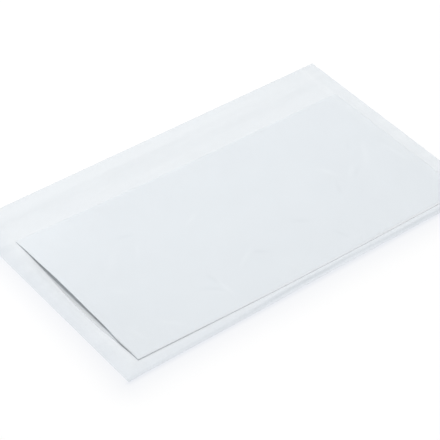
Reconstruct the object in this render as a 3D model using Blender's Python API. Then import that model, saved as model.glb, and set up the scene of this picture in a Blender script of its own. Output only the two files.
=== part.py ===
"""Clear polythene mailing bag that lies flat, with a letter folded in three inside it.

The origin is on the surface under the middle of the bag. +X runs along the length, from the end where
the letter's top leaf stands open, +Y runs from the open mouth to the folded side, and +Z is up.
"""
import math

import bmesh
import bpy

# Bag: one web of film, folded along the far side, welded at both ends, open along the near side
BAG_LENGTH = 0.230
BAG_WIDTH = 0.132
FILM = 0.00008
WELD = 0.0030
PRESSED_GAP = 0.00004
MOUTH_GAP = 0.00040

# Letter: one sheet folded in three, with its middle leaf tucked between the other two
LETTER_LENGTH = 0.210
LETTER_WIDTH = 0.099
PAPER = 0.00010
LEAF_GAP = 0.00012
TUCK_SHORT = 0.0020
TOP_LEAF_SHORT = 0.0010

# Where the letter lies in the bag, and how the film stays clear of it
LETTER_FROM_END = 0.0128
LETTER_FROM_MOUTH = 0.0078
CLEARANCE = 0.00030

# The top leaf stands open at the left end, and the lower leaves lean out past it
GAPE = 0.0020
GAPE_REACH = 0.050
GAPE_PEAK = 0.62
LEAN = 0.0060

# How far the film takes to come down beyond the letter on each side
FILM_SKIRT_NEAR = 0.0060
FILM_SKIRT_FAR = 0.0190
FILM_SKIRT_END = 0.0050
FILM_SHELF = 0.0010

# How finely the soft shapes are divided
FILM_STEP = 0.0045
LEAF_POINTS = 17
FOLD_POINTS = 5
LENGTH_STATIONS = 22

# Film and paper colours, as linear red, green and blue
FILM_COLOUR = (0.72, 0.80, 0.86, 0.35)
PAPER_COLOUR = (0.80, 0.85, 0.89, 1.0)

# Places worked out from the sizes above
BAG_LEFT = -BAG_LENGTH / 2
BAG_RIGHT = BAG_LENGTH / 2
BAG_NEAR = -BAG_WIDTH / 2
BAG_FAR = BAG_WIDTH / 2
LETTER_LEFT = BAG_LEFT + LETTER_FROM_END
LETTER_RIGHT = LETTER_LEFT + LETTER_LENGTH
LETTER_NEAR = BAG_NEAR + LETTER_FROM_MOUTH
LETTER_FAR = LETTER_NEAR + LETTER_WIDTH
LEAF_PITCH = PAPER + LEAF_GAP
BOTTOM_LEAF_Z = FILM + CLEARANCE + PAPER / 2
TUCKED_LEAF_Z = BOTTOM_LEAF_Z + LEAF_PITCH
TOP_LEAF_Z = TUCKED_LEAF_Z + LEAF_PITCH
LOW_SHELF_Z = TUCKED_LEAF_Z + PAPER / 2 + CLEARANCE


def clear_scene():
    for item in list(bpy.data.objects):
        bpy.data.objects.remove(item, do_unlink=True)


def make_material(name, colour, roughness):
    material = bpy.data.materials.new(name)
    material.use_nodes = True
    shader = material.node_tree.nodes["Principled BSDF"]
    shader.inputs["Base Color"].default_value = (colour[0], colour[1], colour[2], 1.0)
    shader.inputs["Roughness"].default_value = roughness
    shader.inputs["Metallic"].default_value = 0.0
    shader.inputs["Alpha"].default_value = colour[3]
    return material


def add_object(name, shape, material=None):
    mesh = bpy.data.meshes.new(name)
    shape.to_mesh(mesh)
    shape.free()
    item = bpy.data.objects.new(name, mesh)
    if material:
        mesh.materials.append(material)
    bpy.context.scene.collection.objects.link(item)
    return item


def ease(share):
    """Falls smoothly from 1 to 0 as the share goes from 0 to 1."""
    held = min(max(share, 0.0), 1.0)
    return 0.5 * (1.0 + math.cos(math.pi * held))


def outside(value, low, high, below, above):
    """How far a value lies past a span, as a share of the distance allowed on that side."""
    if value < low:
        return (low - value) / below
    if value > high:
        return (value - high) / above
    return 0.0


def top_leaf_lift(x, y):
    """Height that the top leaf gains where it stands open, none along the near fold and the far edge."""
    along = ease((x - LETTER_LEFT) / GAPE_REACH)
    across = min(max((y - LETTER_NEAR) / LETTER_WIDTH, 0.0), 1.0)
    if across < GAPE_PEAK:
        return GAPE * along * ease(1.0 - across / GAPE_PEAK)
    return GAPE * along * ease((across - GAPE_PEAK) / (1.0 - GAPE_PEAK))


def lower_leaf_lean(y):
    """How far the lower leaves reach past the top leaf's end, growing from the near fold."""
    return LEAN * (y - LETTER_NEAR) / LETTER_WIDTH


def pocket_height(x, y):
    """Height of the underside of the top film: flat over the letter, sloping down all round it."""
    held_x = min(max(x, LETTER_LEFT), LETTER_RIGHT)
    held_y = min(max(y, LETTER_NEAR), LETTER_FAR)
    floor = FILM + PRESSED_GAP
    if y < LETTER_NEAR:
        mouth_share = ease((y - BAG_NEAR) / (LETTER_NEAR - BAG_NEAR))
        end_share = 1.0 - outside(x, LETTER_LEFT, LETTER_RIGHT, LETTER_FROM_END - WELD, LETTER_FROM_END - WELD)
        floor += (MOUTH_GAP - PRESSED_GAP) * mouth_share * max(end_share, 0.0)
    top_height = TOP_LEAF_Z + PAPER / 2 + CLEARANCE + top_leaf_lift(held_x, held_y)
    over = ease(outside(x, LETTER_LEFT - FILM_SHELF, LETTER_RIGHT + FILM_SHELF,
                        LETTER_FROM_END - FILM_SHELF - WELD, FILM_SKIRT_END))
    over *= ease(outside(y, LETTER_NEAR - FILM_SHELF, LETTER_FAR + FILM_SHELF,
                         FILM_SKIRT_NEAR, FILM_SKIRT_FAR))
    low_left = LETTER_LEFT - LEAN - FILM_SHELF
    low_over = ease(outside(x, low_left, LETTER_RIGHT + FILM_SHELF,
                            low_left - BAG_LEFT - WELD, FILM_SKIRT_END))
    low_over *= ease(outside(y, LETTER_NEAR - FILM_SHELF, LETTER_FAR + FILM_SHELF,
                             FILM_SKIRT_NEAR, FILM_SKIRT_FAR))
    return max(floor + (top_height - floor) * over, floor + (LOW_SHELF_Z - floor) * low_over)


def spaced(stops, step):
    """Values from the first stop to the last that pass through every stop, a step or less apart."""
    values = [stops[0]]
    for low, high in zip(stops, stops[1:]):
        count = max(1, math.ceil((high - low) / step - 1e-6))
        values += [low + (high - low) * (i + 1) / count for i in range(count)]
    return values


def film_lines():
    """Grid lines of the film, which pass through the letter's edges and the seams."""
    along = spaced([BAG_LEFT, BAG_LEFT + WELD, LETTER_LEFT - LEAN - FILM_SHELF, LETTER_LEFT - FILM_SHELF,
                    LETTER_LEFT, LETTER_LEFT + GAPE_REACH, LETTER_RIGHT, LETTER_RIGHT + FILM_SHELF,
                    LETTER_RIGHT + FILM_SHELF + FILM_SKIRT_END, BAG_RIGHT], FILM_STEP)
    across = spaced([BAG_NEAR, LETTER_NEAR - FILM_SHELF, LETTER_NEAR, LETTER_FAR, LETTER_FAR + FILM_SHELF,
                     LETTER_FAR + FILM_SHELF + FILM_SKIRT_FAR, BAG_FAR], FILM_STEP)
    return along, across


def slab(xs, ys, low, height):
    """Closed solid on a flat base at the low height, with its top at height(x, y)."""
    shape = bmesh.new()
    top = [[shape.verts.new((x, y, height(x, y))) for y in ys] for x in xs]
    base = [[shape.verts.new((x, y, low)) for y in ys] for x in xs]
    for i in range(len(xs) - 1):
        for j in range(len(ys) - 1):
            shape.faces.new((top[i][j], top[i + 1][j], top[i + 1][j + 1], top[i][j + 1]))
            shape.faces.new((base[i][j], base[i][j + 1], base[i + 1][j + 1], base[i + 1][j]))
    for i in range(len(xs) - 1):
        shape.faces.new((base[i][0], base[i + 1][0], top[i + 1][0], top[i][0]))
        shape.faces.new((top[i][-1], top[i + 1][-1], base[i + 1][-1], base[i][-1]))
    for j in range(len(ys) - 1):
        shape.faces.new((top[0][j], top[0][j + 1], base[0][j + 1], base[0][j]))
        shape.faces.new((base[-1][j], base[-1][j + 1], top[-1][j + 1], top[-1][j]))
    return shape


def cut_with(item, cutter):
    cutter.hide_render = True
    cutter.display_type = "WIRE"
    cut = item.modifiers.new("pocket", "BOOLEAN")
    cut.operation = "DIFFERENCE"
    cut.solver = "EXACT"
    cut.object = cutter


def build_bag_film(material):
    """The folded and welded film, with its pocket open along the near side."""
    along, across = film_lines()
    outer = slab(along, across, 0.0, lambda x, y: pocket_height(x, y) + FILM)
    film = add_object("bag_film", outer, material)
    inner_along = [x for x in along if BAG_LEFT + WELD <= x + 1e-6 and x - 1e-6 <= BAG_RIGHT - WELD]
    if inner_along[-1] < BAG_RIGHT - WELD - 1e-6:
        inner_along.append(BAG_RIGHT - WELD)
    inner_across = [BAG_NEAR - WELD] + [y for y in across if y < BAG_FAR - WELD / 2] + [BAG_FAR - FILM]
    pocket = slab(inner_along, inner_across, FILM, lambda x, y: pocket_height(x, max(y, BAG_NEAR)))
    cut_with(film, add_object("pocket_cutter", pocket))
    return film


def arc(centre, radius, start, end, count):
    """Points strictly between the start and end angles, in degrees, as (y, z) pairs."""
    angles = [math.radians(start + (end - start) * (i + 1) / (count + 1)) for i in range(count)]
    return [(centre[0] + radius * math.cos(a), centre[1] + radius * math.sin(a)) for a in angles]


def leaf(start, end, height):
    """Points along one leaf from its start to its end in Y."""
    return [(start + (end - start) * i / (LEAF_POINTS - 1), height) for i in range(LEAF_POINTS)]


def letter_outline():
    """The folded sheet's section: (y, z, is_top_leaf) once round its paper, from the tucked leaf outward."""
    tucked_radius = (TUCKED_LEAF_Z - BOTTOM_LEAF_Z) / 2
    top_radius = (TOP_LEAF_Z - BOTTOM_LEAF_Z) / 2
    far_bend = LETTER_FAR - tucked_radius - PAPER / 2
    near_bend = LETTER_NEAR + top_radius + PAPER / 2
    far_centre = (far_bend, BOTTOM_LEAF_Z + tucked_radius)
    near_centre = (near_bend, BOTTOM_LEAF_Z + top_radius)
    tucked_start = near_bend + TUCK_SHORT
    top_end = LETTER_FAR - TOP_LEAF_SHORT
    half = PAPER / 2

    def side(sign):
        """One face of the paper: sign +1 is the face inside the far fold, -1 the face outside it."""
        points = [(y, z - sign * half, False) for y, z in leaf(tucked_start, far_bend, TUCKED_LEAF_Z)]
        points += [(y, z, False) for y, z in arc(far_centre, tucked_radius - sign * half, 90, -90, FOLD_POINTS)]
        points += [(y, z + sign * half, False) for y, z in leaf(far_bend, near_bend, BOTTOM_LEAF_Z)]
        points += [(y, z, False) for y, z in arc(near_centre, top_radius - sign * half, -90, -270, FOLD_POINTS)]
        points += [(y, z - sign * half, True) for y, z in leaf(near_bend, top_end, TOP_LEAF_Z)]
        return points

    return side(1) + side(-1)[::-1]


def build_folded_letter(material):
    """The sheet's section carried along its length, with the top leaf lifted at the left end."""
    outline = letter_outline()
    shape = bmesh.new()
    rings = []
    for i in range(LENGTH_STATIONS):
        share = (i / (LENGTH_STATIONS - 1)) ** 1.6
        ring = []
        for y, z, is_top in outline:
            x = LETTER_LEFT + LETTER_LENGTH * share
            if is_top:
                z += top_leaf_lift(x, y)
            else:
                x -= lower_leaf_lean(max(y, LETTER_NEAR))
            ring.append(shape.verts.new((x, y, z)))
        rings.append(ring)
    for left, right in zip(rings, rings[1:]):
        for j in range(len(outline)):
            k = (j + 1) % len(outline)
            shape.faces.new((left[j], left[k], right[k], right[j]))
    half = len(outline) // 2
    for ring in (rings[0], rings[-1]):
        for j in range(half - 1):
            shape.faces.new((ring[j], ring[j + 1], ring[len(outline) - 2 - j], ring[len(outline) - 1 - j]))
    bmesh.ops.recalc_face_normals(shape, faces=shape.faces)
    return add_object("folded_letter", shape, material)


def main():
    clear_scene()
    build_bag_film(make_material("clear_film", FILM_COLOUR, 0.25))
    build_folded_letter(make_material("white_paper", PAPER_COLOUR, 0.85))


main()
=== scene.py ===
"""Clear polythene mailing bag with a folded letter in it, laid flat and lit softly from behind.

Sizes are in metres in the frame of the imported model: +X along the bag from the end where the letter
stands open, +Y from the open mouth to the folded side, +Z up. The bag lies on the surface at Z = 0.
"""
import math

import bmesh
import bpy
import numpy as np
from bpy.props import FloatProperty, FloatVectorProperty, IntProperty, PointerProperty
from mathutils import Matrix, Vector


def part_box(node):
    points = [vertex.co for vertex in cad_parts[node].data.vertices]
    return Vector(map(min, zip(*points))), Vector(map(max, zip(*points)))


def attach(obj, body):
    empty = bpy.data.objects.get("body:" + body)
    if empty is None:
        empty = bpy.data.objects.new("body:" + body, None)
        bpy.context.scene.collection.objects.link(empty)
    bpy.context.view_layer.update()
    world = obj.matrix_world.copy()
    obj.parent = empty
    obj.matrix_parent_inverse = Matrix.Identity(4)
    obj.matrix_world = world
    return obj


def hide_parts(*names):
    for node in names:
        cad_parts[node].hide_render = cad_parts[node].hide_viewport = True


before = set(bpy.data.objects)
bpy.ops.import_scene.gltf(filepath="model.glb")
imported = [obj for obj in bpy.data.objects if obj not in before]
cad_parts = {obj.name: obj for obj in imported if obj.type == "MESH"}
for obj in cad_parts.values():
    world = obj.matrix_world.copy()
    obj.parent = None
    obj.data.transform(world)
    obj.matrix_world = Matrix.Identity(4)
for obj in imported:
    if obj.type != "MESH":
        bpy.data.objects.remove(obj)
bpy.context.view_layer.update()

bl_info = {
    "name": "Clear mailing bag with a folded letter",
    "version": (1, 0, 0),
    "blender": (4, 5, 0),
    "location": "3D View > Sidebar > Mailing bag",
    "description": "Builds a clear mailing bag, the folded letter in it and the table they lie on",
    "category": "Object",
}

MM = 0.001

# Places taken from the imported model, and the size of the folded letter
BAG_LOW, BAG_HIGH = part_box("bag_film")
LETTER_LONG = 210 * MM
LETTER_DEEP = 99 * MM

# How the letter lies in the bag: its left end, and the slow bend of its near fold along the bag
LETTER_LEFT = -103.0 * MM
LETTER_RIGHT = LETTER_LEFT + LETTER_LONG
FOLD_LEFT_Y = -57.8 * MM
FOLD_BEND = 2.9 * MM
FOLD_BEND_REACH = 150 * MM

# Heights of the middle of the three leaves of paper. The near fold is round at the left end and pressed
# flatter along the letter, and the top leaf comes down on the tucked one towards its free edge
BOTTOM_LEAF_Z = 0.06 * MM
TUCKED_LEAF_Z = 0.145 * MM
TOP_LEAF_Z_LEFT = 0.52 * MM
TOP_LEAF_Z_RIGHT = 0.24 * MM
TOP_LEAF_Z_FREE = 0.235 * MM
FOLD_PRESSED_BY = 0.08 * MM
FOLD_PRESSED_AT = 90 * MM

# How far the free edges of the tucked leaf and the top leaf stop short of the fold that they lie against
TUCKED_LEAF_SHORT = 2.5 * MM
TOP_LEAF_SHORT = 1.0 * MM

# Where the soft rolls and the creases of the film run along the bag; painted shade follows the creases
FAR_ROLL_Y = 57.6 * MM
SECOND_ROLL_Y = 46.2 * MM
FAR_CREASE_Y = 55.2 * MM
MOUTH_CREASE_Y = -65.2 * MM

# Space between the film and the paper under it, and between the plies where the film is empty
OVER_TOP_LEAF = 0.05 * MM
OVER_LOWER_LEAF = 0.06 * MM
BETWEEN_PLIES = 0.06 * MM

# How far past the top leaf, and past the lower leaves, the film takes to come down
FALL_NEAR, FALL_FAR, FALL_LEFT, FALL_RIGHT = 1.8 * MM, 14.0 * MM, 5.0 * MM, 5.2 * MM
LOW_FALL_NEAR, LOW_FALL_FAR, LOW_FALL_LEFT = 2.0 * MM, 9.0 * MM, 2.6 * MM

# How far inside the short ends the plies part, and how far inside the welds the film is fully loose
PLIES_PART = 1.2 * MM
FILM_LOOSE = 7.0 * MM

# Height of a crease at full strength, raised or folded, and how far it bows to a side, by its length
RAISED_CREASE = 0.08 * MM
FOLDED_CREASE = 0.06 * MM
CREASE_BOW = 0.02

# Spacing of the film's mesh: in general, where the letter stands open, and along the mouth
FILM_STEP = 1.0 * MM
OPEN_END_STEP = 0.4 * MM
MOUTH_STEP = 0.5 * MM
MOUTH_STEP_UP_TO = -55.0 * MM

# The point on the table that the camera looks at, the lamp's place, width and length, half the table's
# side, and how far it lies under the bag so that the two surfaces stay apart
LOOKED_AT = (-10.3 * MM, -4.8 * MM, 0.0)
LAMP_PLACE = (-0.12, 1.00, 1.44)
LAMP_WIDE, LAMP_LONG = 0.41, 1.32
TABLE_HALF = 3.0
TABLE_UNDER = 0.05 * MM

# How much the table's glow grows with each metre from the bag towards the camera
GLOW_GAIN = 0.45

# Places of a Mix node's colour sockets, which have the same names as its number sockets
MIX_FIRST, MIX_SECOND, MIX_RESULT = 6, 7, 2


def lerp(low, high, share):
    return low + (high - low) * share


def held(share):
    return np.clip(share, 0.0, 1.0)


def smooth(share):
    """Rises from 0 to 1 with level ends as the share goes from 0 to 1."""
    kept = held(share)
    return kept * kept * (3.0 - 2.0 * kept)


def bump(distance, half_width):
    """A soft hump, 1 in its middle and 0 from its half width outward."""
    return 1.0 - smooth(np.abs(distance) / half_width)


def rounded_fall(share):
    """Falls from 1 to 0 as stiff film does: level at both ends, steepest past the middle."""
    return (1.0 - held(share) ** 2) ** 2


def fold_y(x):
    """Where the letter's near fold runs."""
    share = held((x - LETTER_LEFT) / FOLD_BEND_REACH)
    return FOLD_LEFT_Y - FOLD_BEND * np.sin(0.5 * math.pi * share)


def top_leaf_z(x):
    """Height of the middle of the top leaf's paper where it lies closed."""
    return lerp(TOP_LEAF_Z_LEFT, TOP_LEAF_Z_RIGHT, smooth((x - LETTER_LEFT) / FOLD_PRESSED_AT))


def leaf_settle(x, share):
    """How far the top leaf comes down from its fold's height, by the share of the letter's width."""
    return (top_leaf_z(x) - TOP_LEAF_Z_FREE) * smooth((share - 0.08) / 0.75)


def far_y(x):
    """Where the letter's far edge runs, along its second fold."""
    return fold_y(x) + LETTER_DEEP


class LetterSettings(bpy.types.PropertyGroup):
    paper: FloatProperty(
        name="Paper", description="Thickness of the letter's paper",
        default=0.08 * MM, min=0.05 * MM, max=0.4 * MM, unit="LENGTH", precision=5)
    gape: FloatProperty(
        name="Gape", description="How far the top leaf stands open at the left end",
        default=2.20 * MM, min=0.0, max=5 * MM, unit="LENGTH", precision=5)
    gape_reach: FloatProperty(
        name="Gape reach", description="How far along the letter the gape dies away",
        default=52 * MM, min=10 * MM, max=150 * MM, unit="LENGTH", precision=4)
    gape_peak: FloatProperty(
        name="Gape peak", description="Share of the letter's width where the gape is highest",
        default=0.66, min=0.2, max=0.9, subtype="FACTOR")
    lean: FloatProperty(
        name="Lean", description="How far the lower leaves reach out past the top one",
        default=2.3 * MM, min=0.0, max=6 * MM, unit="LENGTH", precision=5)
    end_bow: FloatProperty(
        name="End bow", description="How far the top leaf's end swings out in its middle",
        default=0.5 * MM, min=0.0, max=3 * MM, unit="LENGTH", precision=5)
    paper_wave: FloatProperty(
        name="Paper wave", description="Height of the soft waves in the top leaf",
        default=0.10 * MM, min=0.0, max=0.5 * MM, unit="LENGTH", precision=5)
    colour: FloatVectorProperty(
        name="Paper colour", description="Colour of the letter's paper",
        default=(0.893, 0.911, 0.926), min=0.0, max=1.0, size=3, subtype="COLOR")


class FilmSettings(bpy.types.PropertyGroup):
    film: FloatProperty(
        name="Film", description="Thickness of the polythene",
        default=0.08 * MM, min=0.03 * MM, max=0.25 * MM, unit="LENGTH", precision=5)
    seal: FloatProperty(
        name="Seal", description="Width of the welded strip at each short end",
        default=3 * MM, min=1 * MM, max=8 * MM, unit="LENGTH", precision=4)
    far_roll: FloatProperty(
        name="Folded side roll", description="Height of the soft roll along the folded side",
        default=0.40 * MM, min=0.0, max=1.5 * MM, unit="LENGTH", precision=5)
    mouth_roll: FloatProperty(
        name="Mouth roll", description="Height of the soft roll along the open mouth",
        default=0.50 * MM, min=0.0, max=1.5 * MM, unit="LENGTH", precision=5)
    ripple: FloatProperty(
        name="Ripples", description="Height of the long ripples in the loose film",
        default=0.10 * MM, min=0.0, max=1 * MM, unit="LENGTH", precision=5)
    seed: IntProperty(
        name="Seed", description="Picks the pattern of the ripples", default=4, min=0, subtype="UNSIGNED")
    haze: FloatProperty(
        name="Haze", description="How much one layer of the film hides what is behind it",
        default=0.14, min=0.0, max=0.6, subtype="FACTOR")
    roughness: FloatProperty(
        name="Roughness", description="How dull the film's gloss is",
        default=0.40, min=0.0, max=1.0, subtype="FACTOR")
    colour: FloatVectorProperty(
        name="Film colour", description="Tint of the milky film",
        default=(0.63, 0.74, 0.83), min=0.0, max=1.0, size=3, subtype="COLOR")
    # Tint of the painted shade on the film along its creases, mouth and far side and beside the open leaf
    crease_shade_colour: FloatVectorProperty(
        name="Crease colour", description="Tint where the film is creased together",
        default=(0.36, 0.44, 0.50), min=0.0, max=1.0, size=3, subtype="COLOR")
    # Tint of the painted shade on the film over the gap under the open leaf
    gap_shade_colour: FloatVectorProperty(
        name="Gap colour", description="Tint where the film spans the dark gap under the open leaf",
        default=(0.05, 0.06, 0.08), min=0.0, max=1.0, size=3, subtype="COLOR")


class StageSettings(bpy.types.PropertyGroup):
    lens: FloatProperty(
        name="Lens", description="Focal length for a 36 mm wide picture",
        default=152.6, min=20.0, max=400.0, unit="CAMERA")
    distance: FloatProperty(
        name="Distance", description="From the camera to the point it looks at",
        default=0.9395, min=0.2, max=5.0, unit="LENGTH")
    azimuth: FloatProperty(
        name="Azimuth", description="Turn of the camera about the bag",
        default=math.radians(-42.9), subtype="ANGLE")
    elevation: FloatProperty(
        name="Elevation", description="Height of the camera above the table as an angle",
        default=math.radians(41.97), subtype="ANGLE")
    roll: FloatProperty(
        name="Roll", description="Tilt of the picture", default=math.radians(5.13), subtype="ANGLE")
    ambient: FloatProperty(
        name="Ambient", description="Strength of the even light from all round",
        default=0.50, min=0.0, max=3.0, subtype="UNSIGNED")
    horizon: FloatProperty(
        name="Horizon", description="Share of the even light that comes from low down",
        default=0.12, min=0.0, max=1.0, subtype="FACTOR")
    key: FloatProperty(
        name="Key", description="Power of the large soft lamp behind the bag",
        default=19.95, min=0.0, max=5000.0, unit="POWER")
    glow: FloatProperty(
        name="Table glow", description="Light that the table gives the camera by itself",
        default=0.51, min=0.0, max=1.0, subtype="FACTOR")
    # The soft shade is painted into the table's colour and glow, beside the bag's near sides
    shade: FloatProperty(
        name="Shade", description="Depth of the soft shade beside the bag's near sides",
        default=0.103, min=0.0, max=0.5, subtype="FACTOR")
    shade_width: FloatProperty(
        name="Shade width", description="How far the soft shade reaches over the table",
        default=19 * MM, min=1 * MM, max=80 * MM, unit="LENGTH")
    shade_tint: FloatVectorProperty(
        name="Shade tint", description="Share of the shade in red, green and blue",
        default=(1.0, 0.9, 0.65), min=0.0, max=1.0, size=3, subtype="COLOR")
    table: FloatVectorProperty(
        name="Table colour", description="Colour of the table",
        default=(0.515, 0.515, 0.515), min=0.0, max=1.0, size=3, subtype="COLOR")


class Tree:
    """Puts nodes in a tree one after another and links them."""

    def __init__(self, tree):
        self.tree = tree

    def add(self, kind, values=None, **settings):
        """A node of this kind with its settings, each input given a value or linked to a socket."""
        node = self.tree.nodes.new(kind)
        for name, value in settings.items():
            setattr(node, name, value)
        for name, value in (values or {}).items():
            if isinstance(value, bpy.types.NodeSocket):
                self.tree.links.new(value, node.inputs[name])
            else:
                node.inputs[name].default_value = value
        return node

    def math(self, operation, first, second=None):
        values = {0: first} if second is None else {0: first, 1: second}
        return self.add("ShaderNodeMath", values, operation=operation).outputs[0]


def new_material(name):
    material = bpy.data.materials.new(name)
    material.use_nodes = True
    material.node_tree.nodes.clear()
    return material, Tree(material.node_tree)


def mapped(nodes, scale, place=(0.0, 0.0, 0.0), turn=0.0):
    """The object's own coordinates, turned about Z and stretched for a pattern."""
    coordinates = nodes.add("ShaderNodeTexCoord").outputs["Object"]
    mapping = nodes.add("ShaderNodeMapping", {"Vector": coordinates, "Location": place,
                                              "Rotation": (0.0, 0.0, turn), "Scale": scale})
    return mapping.outputs["Vector"]


def noise(nodes, vector, detail=2.0, roughness=0.5):
    values = {"Vector": vector, "Scale": 1.0, "Detail": detail, "Roughness": roughness}
    return nodes.add("ShaderNodeTexNoise", values).outputs[0]


def ranged(nodes, value, low, high, to_low, to_high):
    values = {"Value": value, "From Min": low, "From Max": high, "To Min": to_low, "To Max": to_high}
    return nodes.add("ShaderNodeMapRange", values, interpolation_type="SMOOTHSTEP").outputs[0]


def tinted(nodes, share, first, second):
    ramp = nodes.add("ShaderNodeValToRGB", {"Fac": share})
    ramp.color_ramp.elements[0].color = (*first, 1.0)
    ramp.color_ramp.elements[1].color = (*second, 1.0)
    return ramp.outputs["Color"]


def surface(nodes, shader):
    nodes.add("ShaderNodeOutputMaterial", {"Surface": shader})


def mixed(nodes, first, second, share):
    """The first tint turning into the second, a plain colour, as the share goes from 0 to 1."""
    values = {MIX_FIRST: first, MIX_SECOND: (*second, 1.0), "Factor": share}
    return nodes.add("ShaderNodeMix", values, data_type="RGBA").outputs[MIX_RESULT]


def paper_material(settings):
    """Plain uncoated paper: cloudy fibres in its colour and a fine tooth."""
    material, nodes = new_material("plain white paper")
    clouds = noise(nodes, mapped(nodes, (70, 70, 70)), 3.0, 0.6)
    fibres = noise(nodes, mapped(nodes, (1800, 700, 900), turn=0.4), 3.0, 0.65)
    share = nodes.math("ADD", nodes.math("MULTIPLY", clouds, 0.6), nodes.math("MULTIPLY", fibres, 0.4))
    colour = Vector(settings.colour)
    shade = ranged(nodes, share, 0.35, 0.65, 0.0, 1.0)
    tint = tinted(nodes, shade, tuple(colour * 0.996), tuple(colour * 1.003))
    tooth = nodes.add("ShaderNodeBump", {"Strength": 0.25, "Distance": 0.03 * MM, "Height": fibres})
    rough = ranged(nodes, fibres, 0.3, 0.7, 0.78, 0.92)
    shader = nodes.add("ShaderNodeBsdfPrincipled", {
        "Base Color": tint, "Roughness": rough, "Normal": tooth.outputs["Normal"], "IOR": 1.45,
        "Specular IOR Level": 0.3})
    surface(nodes, shader.outputs["BSDF"])
    return material


def attribute(nodes, name):
    return nodes.add("ShaderNodeAttribute", attribute_name=name).outputs["Fac"]


def film_material(settings):
    """Clear polythene, slightly milky.

    Soft bands run along the loose film. Shade is painted into it: it is greyer and less clear along its
    folded creases, the mouth and the far side, beside the open leaf and in a few other places, and dark
    over the gap under the open leaf. A painted highlight makes it clearer in places, so that what lies
    under it looks lighter.
    """
    material, nodes = new_material("clear milky film")
    clouds = noise(nodes, mapped(nodes, (30, 42, 30), place=(0.3, 0.1, 0.0)), 1.0, 0.5)
    bands = noise(nodes, mapped(nodes, (5, 105, 5), place=(0.0, 0.4, 0.0), turn=0.06), 2.0, 0.5)
    bands = nodes.math("MULTIPLY", nodes.math("SUBTRACT", bands, 0.5), attribute(nodes, "free"))
    pattern = nodes.math("ADD", nodes.math("MULTIPLY", nodes.math("SUBTRACT", clouds, 0.5), 0.25), bands)
    share = ranged(nodes, pattern, -0.15, 0.15, 0.0, 1.0)
    crease_and_shade = attribute(nodes, "crease_and_shade")
    gap_shade = attribute(nodes, "gap_shade")
    colour = Vector(settings.colour)
    tint = tinted(nodes, share, tuple(colour * 0.98), tuple(colour * 1.02))
    # Painted shade: greyer tint and less clear film along the creases, the mouth and beside the open leaf
    tint = mixed(nodes, tint, settings.crease_shade_colour, crease_and_shade)
    # Painted shade: the film over the gap under the open leaf gets a dark tint here and more alpha below
    tint = mixed(nodes, tint, settings.gap_shade_colour, nodes.math("MULTIPLY", gap_shade, 3.0))
    haze = ranged(nodes, pattern, -0.15, 0.15, settings.haze * 1.06, settings.haze * 0.94)
    alpha = nodes.math("MULTIPLY", haze, nodes.math("ADD", 1.0, nodes.math("MULTIPLY", crease_and_shade, 1.15)))
    # Painted highlight: the film is made clearer where glint is set, so that what lies under it looks
    # lighter
    clearer = nodes.math("SUBTRACT", 1.0, nodes.math("MULTIPLY", attribute(nodes, "glint"), 0.9))
    alpha = nodes.math("ADD", nodes.math("MULTIPLY", alpha, clearer), nodes.math("MULTIPLY", gap_shade, 0.66))
    rough = ranged(nodes, clouds, 0.3, 0.7, settings.roughness * 0.85, settings.roughness * 1.15)
    grain = noise(nodes, mapped(nodes, (420, 900, 420)), 2.0, 0.5)
    relief = nodes.add("ShaderNodeBump", {"Strength": 0.03, "Distance": 0.02 * MM, "Height": grain})
    shader = nodes.add("ShaderNodeBsdfPrincipled", {
        "Base Color": tint, "Roughness": rough, "Alpha": alpha, "Normal": relief.outputs["Normal"],
        "IOR": 1.5})
    surface(nodes, shader.outputs["BSDF"])
    return material


def background_rays(nodes):
    """1 for rays that should meet the plain white background, 0 for rays that carry light."""
    path = nodes.add("ShaderNodeLightPath")
    seen = nodes.math("ADD", path.outputs["Is Camera Ray"], path.outputs["Is Glossy Ray"])
    seen = nodes.math("ADD", seen, path.outputs["Is Transmission Ray"])
    return nodes.math("MINIMUM", seen, 1.0)


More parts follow.
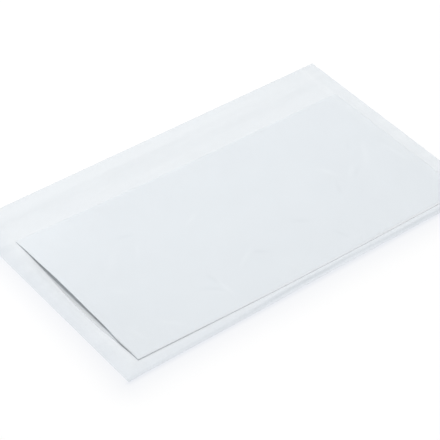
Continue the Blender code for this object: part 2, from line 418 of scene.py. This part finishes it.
def soft_shade(nodes, settings):
    """Painted shade on the table beside the bag's mouth and left end, and the sockets with X, Y and Z.

    A wide faint shade is deepest at the bag and gone at its width, and a narrow one follows the mouth.
    """
    place = nodes.add("ShaderNodeTexCoord").outputs["Object"]
    parts = nodes.add("ShaderNodeSeparateXYZ", {"Vector": place}).outputs

    def beyond(value, limit, sign):
        """Distance past a side of the bag, 0 within it."""
        away = nodes.math("MULTIPLY", nodes.math("SUBTRACT", value, limit), sign)
        return nodes.math("MAXIMUM", away, 0.0)

    left = beyond(parts["X"], BAG_LOW.x, -1.0)
    near = beyond(parts["Y"], BAG_LOW.y + 0.3 * MM, -1.0)
    right = beyond(parts["X"], BAG_HIGH.x - 6 * MM, 1.0)
    far = beyond(parts["Y"], BAG_HIGH.y - 6 * MM, 1.0)
    others = nodes.math("ADD", right, far)
    squares = nodes.math("ADD", nodes.math("POWER", left, 2.0), nodes.math("POWER", near, 2.0))
    away = nodes.math("SQRT", squares)
    in_x = nodes.math("SUBTRACT", parts["X"], BAG_LOW.x)
    in_y = nodes.math("SUBTRACT", parts["Y"], BAG_LOW.y)
    under = nodes.math("MAXIMUM", nodes.math("MINIMUM", in_x, in_y), 0.0)
    under = ranged(nodes, under, 0.0, 14 * MM, 0.70, 0.0)
    beside = nodes.math("MAXIMUM", nodes.math("GREATER_THAN", away, 0.0), under)
    away = nodes.math("ADD", away, nodes.math("MULTIPLY", others, 1.5))
    share = nodes.math("SUBTRACT", 1.0, nodes.math("DIVIDE", away, settings.shade_width))
    share = nodes.math("POWER", nodes.math("MAXIMUM", share, 0.0), 1.5)
    wide = nodes.math("MULTIPLY", nodes.math("MULTIPLY", share, beside), settings.shade)
    wide = nodes.math("MULTIPLY", wide, ranged(nodes, near, 0.0, 2 * MM, 1.0, 0.97))
    close = nodes.math("MULTIPLY", nodes.math("GREATER_THAN", near, 0.0), settings.shade * 0.70)
    near = nodes.math("ADD", near, nodes.math("ADD", left, others))
    close = nodes.math("MULTIPLY", close, ranged(nodes, near, 0.0, 3.2 * MM, 1.0, 0.0))
    return nodes.math("ADD", wide, close), parts


def table_material(settings):
    """White table with the bag's shadow and a painted shade beside it, and a little light of its own for
    the camera.
    """
    material, nodes = new_material("white table")
    clouds = noise(nodes, mapped(nodes, (14, 14, 14)), 2.0, 0.5)
    colour = Vector(settings.table)
    clouds = ranged(nodes, clouds, 0.3, 0.7, 0.0, 1.0)
    tint = tinted(nodes, clouds, tuple(colour * 0.998), tuple(colour * 1.002))
    # Painted shade: the table's colour and glow are darkened beside the bag's mouth and left end
    shade, parts = soft_shade(nodes, settings)
    kept = {}
    for channel, depth in zip(("Red", "Green", "Blue"), settings.shade_tint):
        kept[channel] = nodes.math("SUBTRACT", 1.0, nodes.math("MULTIPLY", shade, depth))
    kept = nodes.add("ShaderNodeCombineColor", kept).outputs[0]
    tint = nodes.add("ShaderNodeVectorMath", {0: tint, 1: kept}, operation="MULTIPLY").outputs[0]
    lit = nodes.add("ShaderNodeBsdfDiffuse", {"Color": tint})
    nearer = nodes.math("MAXIMUM", nodes.math("SUBTRACT", BAG_LOW.y, parts["Y"]), 0.0)
    nearer = nodes.math("ADD", nodes.math("MULTIPLY", nearer, GLOW_GAIN), 1.0)
    even = nodes.math("MULTIPLY", nearer, settings.glow)
    strength = nodes.math("MULTIPLY", background_rays(nodes), even)
    glow = nodes.add("ShaderNodeEmission", {"Color": kept, "Strength": strength})
    both = nodes.add("ShaderNodeAddShader")
    nodes.tree.links.new(lit.outputs[0], both.inputs[0])
    nodes.tree.links.new(glow.outputs[0], both.inputs[1])
    surface(nodes, both.outputs[0])
    return material


def link_mesh(name, shape, material=None):
    """An object with this shape, smooth except where its faces meet at a clear angle."""
    for edge in shape.edges:
        edge.smooth = edge.calc_face_angle(0.0) < math.radians(40)
    mesh = bpy.data.meshes.new(name)
    shape.to_mesh(mesh)
    shape.free()
    for face in mesh.polygons:
        face.use_smooth = True
    piece = bpy.data.objects.new(name, mesh)
    bpy.context.scene.collection.objects.link(piece)
    if material:
        mesh.materials.append(material)
    return piece


def spaced(stops, step):
    """Values from the first stop to the last that pass through every stop, a step or less apart."""
    values = [stops[0]]
    for low, high in zip(stops, stops[1:]):
        count = max(1, math.ceil((high - low) / step - 1e-6))
        values += [low + (high - low) * (i + 1) / count for i in range(count)]
    return values


def leaf_lift(settings, x, share):
    """Height that the top leaf gains by its gape at the left end and by soft waves between its folds."""
    along = 1.0 - smooth((x - LETTER_LEFT) / settings.gape_reach)
    rise = np.sin(0.5 * math.pi * held(share / settings.gape_peak)) ** 1.25
    fall = 1.0 - held((share - settings.gape_peak) / (1.0 - settings.gape_peak)) ** 1.9
    lift = settings.gape * along * np.where(share < settings.gape_peak, rise, fall)
    wave = 0.5 + 0.5 * np.sin(x * 48.0 + share * 3.1 + 0.6) * np.sin(share * 6.0 + x * 17.0)
    return lift + settings.paper_wave * wave * np.sin(math.pi * held(share)) ** 2


def top_leaf_out(settings, share):
    """How far the top leaf's left end swings out, by the share of the letter's width."""
    bow = np.sin(math.pi * held(share / 1.05))
    return settings.end_bow * (bow + 1.1 * bump(share - 0.13, 0.13) + 0.6 * bump(share - 0.80, 0.16))


def lower_leaf_out(settings, share):
    """How far the lower leaves' left ends reach out: most from a third of the width to the middle."""
    return settings.lean * smooth(share / 0.34) * (1.0 - smooth((share - 0.42) / 0.50))


def letter_section(settings, top_z):
    """The folded sheet's section round the paper: distance from the near fold, height, is top leaf."""
    half = settings.paper / 2
    tucked_radius = (TUCKED_LEAF_Z - BOTTOM_LEAF_Z) / 2
    top_radius = (top_z - BOTTOM_LEAF_Z) / 2
    far_bend = LETTER_DEEP - tucked_radius - half
    near_bend = top_radius + half
    leaf_points = 44
    bend_points = 9

    def leaf(start, end, z, is_top):
        return [(lerp(start, end, i / (leaf_points - 1)), z, is_top) for i in range(leaf_points)]

    def bend(centre_y, centre_z, radius, start, end):
        angles = [math.radians(lerp(start, end, (i + 1) / (bend_points + 1))) for i in range(bend_points)]
        return [(centre_y + radius * math.cos(a), centre_z + radius * math.sin(a), False) for a in angles]

    def face(sign):
        tucked = leaf(TUCKED_LEAF_SHORT, far_bend, TUCKED_LEAF_Z - sign * half, False)
        far = bend(far_bend, BOTTOM_LEAF_Z + tucked_radius, tucked_radius - sign * half, 90, -90)
        bottom = leaf(far_bend, near_bend, BOTTOM_LEAF_Z + sign * half, False)
        near = bend(near_bend, BOTTOM_LEAF_Z + top_radius, top_radius - sign * half, -90, -270)
        top = leaf(near_bend, LETTER_DEEP - TOP_LEAF_SHORT, top_z - sign * half, True)
        return tucked + far + bottom + near + top

    return face(1) + face(-1)[::-1]


def make_letter(settings):
    """One sheet folded in three, its top leaf open at the left and its lower leaves reaching past it."""
    stations = 110
    shape = bmesh.new()
    rings = []
    for i in range(stations):
        along = (i / (stations - 1)) ** 1.35
        middle = LETTER_LEFT + LETTER_LONG * along
        ring = []
        pressed = FOLD_PRESSED_BY * float(smooth((middle - LETTER_LEFT) / FOLD_PRESSED_AT))
        for y, z, is_top in letter_section(settings, float(top_leaf_z(middle)) - pressed):
            share = y / LETTER_DEEP
            if is_top:
                x = middle - float(top_leaf_out(settings, share)) * (1.0 - along)
                z += float(leaf_lift(settings, x, share) - leaf_settle(middle, share))
                z += pressed * float(smooth(y / (3.0 * MM)))
            else:
                x = middle - float(lower_leaf_out(settings, share)) * (1.0 - along)
            ring.append(shape.verts.new((x, float(fold_y(x)) + y, z)))
        rings.append(ring)
    count = len(rings[0])
    half = count // 2
    for left, right in zip(rings, rings[1:]):
        for j in range(count):
            k = (j + 1) % count
            shape.faces.new((left[j], left[k], right[k], right[j]))
    for ring in (rings[0], rings[-1]):
        for j in range(half - 1):
            shape.faces.new((ring[j], ring[j + 1], ring[count - 2 - j], ring[count - 1 - j]))
    bmesh.ops.recalc_face_normals(shape, faces=shape.faces)
    return shape


# Soft creases in the film over the letter: start x, y, end x, y, half width, all in millimetres, and how
# strongly the crease shows: above 0 it stands up with a painted highlight, below 0 it lies folded with
# painted shade
CREASES = (
    (-66.0, 9.0, -86.0, -8.5, 2.6, 0.17),
    (-55.0, 6.0, -63.0, -5.5, 1.5, 0.28),
    (-63.0, 13.6, -52.0, 11.4, 1.4, -0.15),
    (-27.0, 1.8, -16.5, 5.8, 1.4, 0.27),
    (-41.6, -32.0, -40.2, -41.0, 1.4, -0.14),
    (-40.0, -38.0, -39.0, -50.5, 1.5, 0.32),
    (-50.5, -37.5, -41.5, -45.0, 1.4, -0.13),
    (-49.0, -40.2, -42.0, -47.0, 1.3, 0.24),
    (-24.5, -37.5, -10.5, -30.0, 1.5, 0.29),
    (-12.0, -32.5, -6.0, -37.0, 1.4, -0.15),
    (18.0, -26.5, 26.5, -31.8, 1.6, -0.14),
    (56.5, -3.5, 62.0, -15.5, 1.5, 0.35),
    (57.2, -17.5, 53.0, -26.0, 1.4, -0.13),
    (66.0, -18.0, 73.0, -12.5, 1.4, 0.29),
    (68.5, -19.8, 76.5, -15.2, 1.3, -0.12),
    (92.0, 1.0, 80.0, -17.0, 1.8, 0.25),
    (98.5, -8.0, 101.0, -27.5, 1.8, 0.35),
    (83.5, 3.0, 80.5, -1.5, 1.3, -0.15),
    (31.0, -44.0, 34.5, -52.5, 1.4, -0.14),
    (-80.5, -44.0, -71.5, -52.0, 1.6, 0.32),
    (-95.5, -38.0, -91.5, -53.0, 1.8, 0.29),
    (-87.0, -14.0, -81.0, -21.5, 1.4, 0.24),
)


def creases(x, y):
    """How strongly raised creases and folded creases show at each place, each from 0 up."""
    raised = np.zeros(np.shape(x))
    folded = np.zeros(np.shape(x))
    for x0, y0, x1, y1, half_width, strength in CREASES:
        start = np.array((x0, y0)) * MM
        span = np.array((x1, y1)) * MM - start
        along = held(((x - start[0]) * span[0] + (y - start[1]) * span[1]) / float(span @ span))
        bow = CREASE_BOW * np.sin(math.pi * along)
        away = np.hypot(x - start[0] - (along * span[0] - bow * span[1]),
                        y - start[1] - (along * span[1] + bow * span[0]))
        share = np.sin(math.pi * held(0.10 + 0.80 * along)) * bump(away, 1.25 * half_width * MM)
        if strength > 0.0:
            raised = np.maximum(raised, strength * share)
        else:
            folded = np.maximum(folded, -strength * share)
    return raised, folded


class BagShape:
    """Where each part of the film runs. Distances are in metres and work on whole arrays."""

    def __init__(self, film, letter):
        self.film = film
        self.letter = letter
        self.left, self.right = BAG_LOW.x, BAG_HIGH.x
        self.near, self.far = BAG_LOW.y, BAG_HIGH.y
        self.floor = film.film + BETWEEN_PLIES

    def cover(self, x, y):
        """1 over the letter's top leaf, falling to 0 all round it the way loose film does."""
        share = held((y - fold_y(x)) / LETTER_DEEP)
        beyond_near = (fold_y(x) - y) / FALL_NEAR
        beyond_far = (y - far_y(x)) / FALL_FAR
        beyond_left = (LETTER_LEFT - top_leaf_out(self.letter, share) - x) / FALL_LEFT
        beyond_right = (x - LETTER_RIGHT) / FALL_RIGHT
        across = (1.0 - held(beyond_near)) ** 2.0 * rounded_fall(beyond_far)
        return across * rounded_fall(beyond_left) * rounded_fall(beyond_right)

    def low_cover(self, x, y):
        """1 over the lower leaves that lean out at the left, falling to 0 past their edge."""
        share = held((y - fold_y(x)) / LETTER_DEEP)
        edge = LETTER_LEFT - lower_leaf_out(self.letter, share)
        beyond_left = (edge - x) / LOW_FALL_LEFT
        beyond_near = (fold_y(x) - y) / LOW_FALL_NEAR
        beyond_far = (y - far_y(x)) / LOW_FALL_FAR
        return (rounded_fall(beyond_left) * (1.0 - held(beyond_near)) ** 2.0 * rounded_fall(beyond_far)
                * (x < LETTER_RIGHT))

    def open_film(self, x):
        """1 in the middle of the bag's length, 0 at the welded ends."""
        inside = np.minimum(x - self.left, self.right - x) - self.film.seal
        return smooth(inside / FILM_LOOSE)

    def far_rolls(self, x, y):
        """The rounded folded side, and a second weaker roll that shows only towards the right."""
        crest = FAR_ROLL_Y + 0.9 * MM * np.sin(x * 21.0 + 0.4)
        roll = self.film.far_roll * bump(y - crest, 7.2 * MM)
        second = SECOND_ROLL_Y + 0.6 * MM * np.sin(x * 30.0)
        roll += 0.22 * self.film.far_roll * bump(y - second, 4.0 * MM) * smooth((x + 10 * MM) / (50 * MM))
        return roll * self.open_film(x)

    def mouth_line(self, x):
        """Where the crease along the open mouth runs, which the painted shade follows."""
        middle = 1.7 * MM * np.exp(-((x + 4 * MM) / (38 * MM)) ** 2)
        return MOUTH_CREASE_Y + middle + 1.1 * MM * smooth((x - 5 * MM) / (25 * MM))

    def mouth_rolls(self, x, y):
        """The roll along the open mouth, inside its crease, which comes and goes along the bag."""
        crest = self.mouth_line(x) + 1.3 * MM
        shape = np.where(y > crest, bump(y - crest, 2.2 * MM), bump(y - crest, 1.5 * MM))
        return self.film.mouth_roll * self.mouth_strength(x) * shape * self.open_film(x)

    def mouth_strength(self, x):
        middle = np.exp(-(x / (32 * MM)) ** 2)
        right = np.exp(-((x - 72 * MM) / (22 * MM)) ** 2)
        return 0.40 + 0.34 * middle + 0.26 * right

    def leaf_edge(self, y):
        """Where the top leaf's left edge is."""
        return LETTER_LEFT - top_leaf_out(self.letter, held((y - FOLD_LEFT_Y) / LETTER_DEEP))

    def edge_lift(self, y):
        """How high the top leaf's left edge stands open."""
        return leaf_lift(self.letter, LETTER_LEFT, held((y - FOLD_LEFT_Y) / LETTER_DEEP))

    def crease_and_shade(self, x, y):
        """Where painted shade makes the film greyer and less clear, from 0 to 1.

        That is along the mouth's crease and the far side, at the left weld, on the slope down from the
        open leaf where the leaf's shadow falls, past the letter's right end, at the far right corner and
        on the folded creases.
        """
        mouth = self.mouth_strength(x) * bump(y - self.mouth_line(x), 1.9 * MM)
        beside = smooth((x - 10 * MM) / (30 * MM)) + smooth((-76 * MM - x) / (12 * MM))
        mouth = np.maximum(mouth, 0.14 * beside * bump(y + 61.2 * MM, 3.4 * MM) * self.open_film(x))
        far = 0.12 * bump(y - FAR_CREASE_Y - 0.8 * MM * np.sin(x * 21.0 + 0.4), 3.4 * MM)
        weld = 0.06 * bump(x - self.left - 1.9 * MM, 0.7 * MM)
        slope = 0.09 * smooth((44 * MM - y) / (16 * MM))
        slope = slope + 0.20 * bump(y + 2 * MM, 26 * MM) + 0.08 * bump(y + 58 * MM, 9 * MM)
        slope *= smooth((x + 111 * MM) / (4 * MM))
        slope *= 1.0 - smooth((x - self.leaf_edge(y)) / (1.0 * MM))
        right = 0.13 * bump(x - LETTER_RIGHT - 1.0 * MM, 3.0 * MM) * smooth((46 * MM - y) / (12 * MM))
        corner = 0.07 * smooth((x - 80 * MM) / (16 * MM)) * smooth((y - 46 * MM) / (8 * MM))
        ends = np.maximum(np.maximum(weld, slope), np.maximum(right, corner))
        return held(np.maximum(np.maximum(mouth, far), np.maximum(ends, creases(x, y)[1])))

    def gap_shade(self, x, y):
        """Painted shade: where the film over the gap under the top leaf's left edge is tinted dark and
        made less clear.
        """
        middle = LETTER_LEFT - 0.05 * MM - 0.69 * self.edge_lift(y)
        middle = middle - 0.40 * MM * bump(y + 46 * MM, 12 * MM)
        run = smooth((35 * MM - y) / (14 * MM)) * smooth((y + 57 * MM) / (7 * MM))
        run *= 1.0 - 0.8 * bump(y + 38 * MM, 8 * MM)
        return 0.30 * run * bump(x - middle, 0.95 * MM)

    def glints(self, x, y):
        """Where a painted highlight makes the film clearer, so that what lies under it looks lighter,
        from 0 to 1.

        That is on the mouth's roll, in a band along the far side, over the shaded strip beside the dark
        gap, along the near fold's dark line, over the letter's right end, by the left side and on the
        raised creases.
        """
        roll = 0.12 * bump(y - self.mouth_line(x) - 2.6 * MM, 1.8 * MM) * bump(x + 20 * MM, 60 * MM)
        band = 0.10 * bump(y - 44.0 * MM - 0.02 * x, 3.2 * MM) * smooth((30 * MM - x) / (50 * MM))
        middle = LETTER_LEFT - 1.75 * MM - 0.47 * self.edge_lift(y)
        strip = bump(x - middle, 0.95 * MM) * bump(y + 12 * MM, 30 * MM) ** 0.5
        side = 0.24 * bump(x - self.left - 4.5 * MM, 5.0 * MM) * bump(y + 30 * MM, 18 * MM)
        fold = 0.45 * smooth((x + 55 * MM) / (30 * MM)) + 0.50 * smooth((x - 40 * MM) / (20 * MM))
        fold *= bump(y - fold_y(x) - 0.2 * MM, 1.0 * MM)
        end = 0.16 * bump(x - LETTER_RIGHT + 0.5 * MM, 6.0 * MM)
        end *= smooth((LETTER_RIGHT + 0.5 * MM - x) / (1.0 * MM))
        bright = np.maximum(np.maximum(roll, band) * self.open_film(x), np.maximum(strip, fold))
        bright = np.maximum(bright, np.maximum(end, side))
        return held(np.maximum(bright, 0.45 * creases(x, y)[0]))

    def end_rolls(self, x, y):
        """Soft puckers that run in from the right end."""
        run = smooth((x - 96 * MM) / (6 * MM)) * smooth((self.right - 1.0 * MM - x) / (4 * MM))
        waves = 0.5 + 0.5 * np.sin(y * 330.0 + 1.2 * np.sin(y * 90.0))
        return 0.10 * MM * run * waves

    def pressed_flat(self, x):
        """1 inside, 0 at the very ends, where the plies are welded into one."""
        return smooth(np.minimum(x - self.left, self.right - x) / PLIES_PART)

    def top(self, x, y):
        """Height of the underside of the top ply."""
        share = held((y - fold_y(x)) / LETTER_DEEP)
        over_letter = top_leaf_z(x) + self.letter.paper / 2 + OVER_TOP_LEAF
        over_letter = over_letter + leaf_lift(self.letter, np.maximum(x, LETTER_LEFT), share)
        over_letter = over_letter - leaf_settle(x, share)
        low_letter = TUCKED_LEAF_Z + self.letter.paper / 2 + OVER_LOWER_LEAF
        rest = self.floor + self.far_rolls(x, y) + self.mouth_rolls(x, y) + self.end_rolls(x, y)
        high = lerp(rest, np.maximum(over_letter, rest), self.cover(x, y))
        low = lerp(rest, np.maximum(low_letter, rest), self.low_cover(x, y))
        raised, folded = creases(x, y)
        top = np.maximum(high, low) + RAISED_CREASE * raised + FOLDED_CREASE * folded
        return lerp(0.0, top, self.pressed_flat(x))

    def mouth_shift(self, x, ply):
        """How far the cut edge of a ply stands in from the bag's near side, in soft waves."""
        wave = 0.12 * MM + 0.16 * MM * np.sin(x * 27.0 + 1.9 * ply) + 0.10 * MM * np.sin(x * 61.0 + 0.7)
        return np.maximum(wave, 0.0) * self.open_film(x)


def film_grid(shape):
    """The lines that the film's mesh follows along and across the bag."""
    seal = shape.film.seal
    open_from, open_to = LETTER_LEFT - 4.4 * MM, LETTER_LEFT + 0.4 * MM
    far_fold_radius = (shape.floor + shape.film.film) / 2
    along = spaced([shape.left, shape.left + 0.7 * MM, shape.left + 1.4 * MM, shape.left + seal,
                    open_from], FILM_STEP)[:-1]
    along += spaced([open_from, open_to], OPEN_END_STEP)[:-1]
    along += spaced([open_to, shape.right - seal, shape.right - 1.4 * MM,
                     shape.right - 0.7 * MM, shape.right], FILM_STEP)
    across = spaced([shape.near, MOUTH_STEP_UP_TO], MOUTH_STEP)[:-1]
    across += spaced([MOUTH_STEP_UP_TO, shape.far - far_fold_radius], FILM_STEP)
    return np.array(along), np.array(across)


def make_film(film, letter):
    """The web of film as one sheet: top ply, far fold and bottom ply, joined along both short ends."""
    bag = BagShape(film, letter)
    along, across = film_grid(bag)
    x, y = np.meshgrid(along, across, indexing="ij")
    near_fade = 1.0 - smooth((y - bag.near) / (4.0 * MM))
    top_y = y + near_fade * bag.mouth_shift(x, 1.0)
    low_y = y + near_fade * bag.mouth_shift(x, 0.0)
    last = len(across) - 1
    top_z = bag.top(x, top_y) + film.film
    top_z[:, last] = bag.floor * bag.pressed_flat(along) + film.film
    low_z = np.zeros_like(top_z)

    shape = bmesh.new()
    ply = shape.verts.layers.float.new("ply")
    free = shape.verts.layers.float.new("free")
    crease_and_shade = shape.verts.layers.float.new("crease_and_shade")
    glint = shape.verts.layers.float.new("glint")
    gap_shade = shape.verts.layers.float.new("gap_shade")
    loose = 1.0 - np.maximum(bag.cover(x, y), bag.low_cover(x, y))
    settled = bag.open_film(x) * smooth((bag.far - y) / (3.0 * MM)) * smooth((y - bag.near) / (1.5 * MM))
    # Painted shade along the creases, the mouth, the far side and beside the open leaf
    folded = bag.crease_and_shade(x, y)
    # Painted highlight: where the film is made clearer
    bright = bag.glints(x, y)
    # Painted shade over the gap under the open leaf
    gap = bag.gap_shade(x, y)

    def point(place, top_share, i, j):
        vert = shape.verts.new(place)
        vert[ply] = float(top_share * settled[i, j])
        vert[free] = float(loose[i, j])
        vert[crease_and_shade] = float(top_share * folded[i, j])
        vert[glint] = float(top_share * bright[i, j])
        vert[gap_shade] = float(top_share * gap[i, j])
        return vert

    def skin(i, ys, zs, top_share):
        return [point((along[i], ys[i, j], zs[i, j]), top_share, i, j) for j in range(last + 1)]

    def fold(i):
        """Points round the far fold, from the top ply down."""
        radius = top_z[i, last] / 2
        points = []
        for angle in (60, 30, 0, -30, -60):
            out = radius * math.cos(math.radians(angle))
            up = radius * math.sin(math.radians(angle))
            points.append(point((along[i], across[last] + out, radius + up), 0.0, i, last))
        return points

    web = [skin(i, top_y, top_z, 1.0) + fold(i) + skin(i, low_y, low_z, 0.0)[::-1]
           for i in range(len(along))]
    for left, right in zip(web, web[1:]):
        for j in range(len(left) - 1):
            shape.faces.new((left[j], right[j], right[j + 1], left[j + 1]))
    for end, flip in ((web[0], False), (web[-1], True)):
        for j in range(last):
            k = len(end) - 1 - j
            quad = (end[j], end[j + 1], end[k - 1], end[k])
            shape.faces.new(quad[::-1] if flip else quad)
        cap = end[last:len(end) - last]
        shape.faces.new(cap[::-1] if flip else cap)
    bmesh.ops.recalc_face_normals(shape, faces=shape.faces)
    return shape


def ripple_tree():
    """Geometry Nodes that lay long ripples in the loose film of the top ply."""
    group = bpy.data.node_groups.new("film ripples", "GeometryNodeTree")
    group.interface.new_socket("Geometry", in_out="OUTPUT", socket_type="NodeSocketGeometry")
    group.interface.new_socket("Geometry", in_out="INPUT", socket_type="NodeSocketGeometry")
    for name, kind in (("Ripple Height", "NodeSocketFloat"), ("Ripple Length", "NodeSocketFloat"),
                       ("Ripple Width", "NodeSocketFloat"), ("Seed", "NodeSocketInt"),
                       ("Film", "NodeSocketMaterial")):
        group.interface.new_socket(name, in_out="INPUT", socket_type=kind)
    nodes = Tree(group)
    given = nodes.add("NodeGroupInput").outputs
    place = nodes.add("GeometryNodeInputPosition").outputs[0]

    def stored(name):
        node = nodes.add("GeometryNodeInputNamedAttribute", {"Name": name}, data_type="FLOAT")
        return node.outputs["Attribute"]

    size = {"X": given["Ripple Length"], "Y": given["Ripple Width"], "Z": 1.0}
    size = nodes.add("ShaderNodeCombineXYZ", size).outputs[0]
    scaled = nodes.add("ShaderNodeVectorMath", {0: place, 1: size}, operation="DIVIDE").outputs[0]
    values = {"Vector": scaled, "W": given["Seed"], "Scale": 1.0, "Detail": 1.5}
    ripple = nodes.add("ShaderNodeTexNoise", values, noise_dimensions="4D").outputs[0]
    ripple = nodes.math("MULTIPLY", nodes.math("SUBTRACT", ripple, 0.35), given["Ripple Height"])
    ripple = nodes.math("MULTIPLY", nodes.math("MAXIMUM", ripple, 0.0), stored("free"))
    rise = nodes.math("MULTIPLY", ripple, stored("ply"))
    offset = nodes.add("ShaderNodeCombineXYZ", {"Z": rise}).outputs[0]
    moved = nodes.add("GeometryNodeSetPosition", {"Geometry": given["Geometry"], "Offset": offset})
    real = nodes.add("GeometryNodeRealizeInstances", {"Geometry": moved.outputs[0]})
    finish = {"Geometry": real.outputs[0], "Material": given["Film"]}
    finished = nodes.add("GeometryNodeSetMaterial", finish)
    nodes.add("NodeGroupOutput", {"Geometry": finished.outputs[0]})
    return group


def apply_nodes(piece, group, values):
    """Runs a Geometry Nodes tree on the piece with these inputs and keeps the result as a plain mesh."""
    modifier = piece.modifiers.new(group.name, "NODES")
    modifier.node_group = group
    sockets = {item.name: item.identifier for item in group.interface.items_tree
               if item.item_type == "SOCKET" and item.in_out == "INPUT"}
    for name, value in values.items():
        modifier[sockets[name]] = value
    bpy.context.view_layer.update()
    graph = bpy.context.evaluated_depsgraph_get()
    mesh = bpy.data.meshes.new_from_object(piece.evaluated_get(graph))
    piece.modifiers.remove(modifier)
    piece.data = mesh


class MAILER_OT_letter(bpy.types.Operator):
    """Folds the letter in three and stands its top leaf open at the left end"""
    bl_idname = "mailer.letter"
    bl_label = "Add folded letter"

    def execute(self, context):
        settings = context.scene.mailer_letter
        piece = link_mesh("letter_sheet", make_letter(settings), paper_material(settings))
        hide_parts("folded_letter")
        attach(piece, "root")
        return {"FINISHED"}


class MAILER_OT_film(bpy.types.Operator):
    """Makes the bag of folded and welded film round the letter"""
    bl_idname = "mailer.film"
    bl_label = "Add film bag"

    def execute(self, context):
        film = context.scene.mailer_film
        piece = link_mesh("film_web", make_film(film, context.scene.mailer_letter))
        apply_nodes(piece, ripple_tree(), {
            "Ripple Height": film.ripple, "Ripple Length": 60 * MM, "Ripple Width": 7 * MM,
            "Seed": film.seed, "Film": film_material(film)})
        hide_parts("bag_film")
        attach(piece, "root")
        return {"FINISHED"}


class MAILER_OT_stage(bpy.types.Operator):
    """Adds the table, the soft lamp, the even light and the camera"""
    bl_idname = "mailer.stage"
    bl_label = "Add table, lamp and camera"

    def execute(self, context):
        settings = context.scene.mailer_stage
        make_table(settings)
        make_world(settings)
        make_lamp(settings)
        make_camera(settings)
        context.scene.view_settings.view_transform = "Standard"
        return {"FINISHED"}


def make_table(settings):
    shape = bmesh.new()
    bmesh.ops.create_grid(shape, x_segments=24, y_segments=24, size=TABLE_HALF,
                          matrix=Matrix.Translation((0.0, 0.0, -TABLE_UNDER)))
    link_mesh("table", shape, table_material(settings))


def make_world(settings):
    world = bpy.data.worlds.new("even light")
    world.use_nodes = True
    world.node_tree.nodes.clear()
    nodes = Tree(world.node_tree)
    seen = background_rays(nodes)
    direction = nodes.add("ShaderNodeTexCoord").outputs["Generated"]
    height = nodes.add("ShaderNodeSeparateXYZ", {"Vector": direction}).outputs["Z"]
    overhead = (1.0 - settings.horizon / 3.0) * 1.5
    even = nodes.add("ShaderNodeMapRange", {"Value": height, "From Min": 0.0, "From Max": 1.0,
                                            "To Min": settings.ambient * settings.horizon,
                                            "To Max": settings.ambient * overhead}).outputs[0]
    strength = nodes.add("ShaderNodeMix", {"Factor": seen, "A": even, "B": 1.0}).outputs[0]
    sky = nodes.add("ShaderNodeBackground", {"Color": (1.0, 1.0, 1.0, 1.0), "Strength": strength})
    nodes.add("ShaderNodeOutputWorld", {"Surface": sky.outputs[0]})
    bpy.context.scene.world = world


def make_lamp(settings):
    """One long soft lamp high behind the bag, which leaves the gap under the open leaf dark."""
    place = Vector(LAMP_PLACE)
    data = bpy.data.lights.new("soft key", "AREA")
    data.shape = "RECTANGLE"
    data.size = LAMP_WIDE
    data.size_y = LAMP_LONG
    data.energy = settings.key
    lamp = bpy.data.objects.new("soft key", data)
    lamp.location = place
    lamp.rotation_mode = "QUATERNION"
    lamp.rotation_quaternion = (-place).to_track_quat("-Z", "Y")
    lamp.visible_camera = False
    bpy.context.scene.collection.objects.link(lamp)


def make_camera(settings):
    """The camera of the picture: long lens, seen from the near left, slightly rolled."""
    turn, tilt = settings.azimuth, settings.elevation
    back = Vector((math.sin(turn) * math.cos(tilt), -math.cos(turn) * math.cos(tilt), math.sin(tilt)))
    right = Vector((math.cos(turn), math.sin(turn), 0.0))
    up = back.cross(right)
    rolled_right = right * math.cos(settings.roll) + up * math.sin(settings.roll)
    rolled_up = up * math.cos(settings.roll) - right * math.sin(settings.roll)
    data = bpy.data.cameras.new("camera")
    data.sensor_width = 36.0
    data.lens = settings.lens
    data.clip_start = 0.05
    data.clip_end = 50.0
    camera = bpy.data.objects.new("camera", data)
    turned = Matrix((rolled_right, rolled_up, back)).transposed().to_4x4()
    turned.translation = Vector(LOOKED_AT) + back * settings.distance
    camera.matrix_world = turned
    bpy.context.scene.collection.objects.link(camera)
    bpy.context.scene.camera = camera


class MAILER_PT_panel(bpy.types.Panel):
    """The bag's pieces and sizes"""
    bl_label = "Mailing bag"
    bl_idname = "MAILER_PT_panel"
    bl_space_type = "VIEW_3D"
    bl_region_type = "UI"
    bl_category = "Mailing bag"

    def draw(self, context):
        for operator, owner in OPERATORS:
            box = self.layout.box()
            box.operator(operator)
            settings = getattr(context.scene, owner)
            for name in settings.__annotations__:
                box.prop(settings, name)


OPERATORS = (("mailer.letter", "mailer_letter"), ("mailer.film", "mailer_film"),
             ("mailer.stage", "mailer_stage"))
GROUPS = {"mailer_letter": LetterSettings, "mailer_film": FilmSettings, "mailer_stage": StageSettings}
CLASSES = (LetterSettings, FilmSettings, StageSettings, MAILER_OT_letter, MAILER_OT_film, MAILER_OT_stage,
           MAILER_PT_panel)


def register():
    for item in CLASSES:
        bpy.utils.register_class(item)
    for owner, group in GROUPS.items():
        setattr(bpy.types.Scene, owner, PointerProperty(type=group))


def unregister():
    for owner in GROUPS:
        delattr(bpy.types.Scene, owner)
    for item in reversed(CLASSES):
        bpy.utils.unregister_class(item)


def main():
    register()
    bpy.ops.mailer.letter()
    bpy.ops.mailer.film()
    bpy.ops.mailer.stage()


if __name__ == "__main__":
    main()
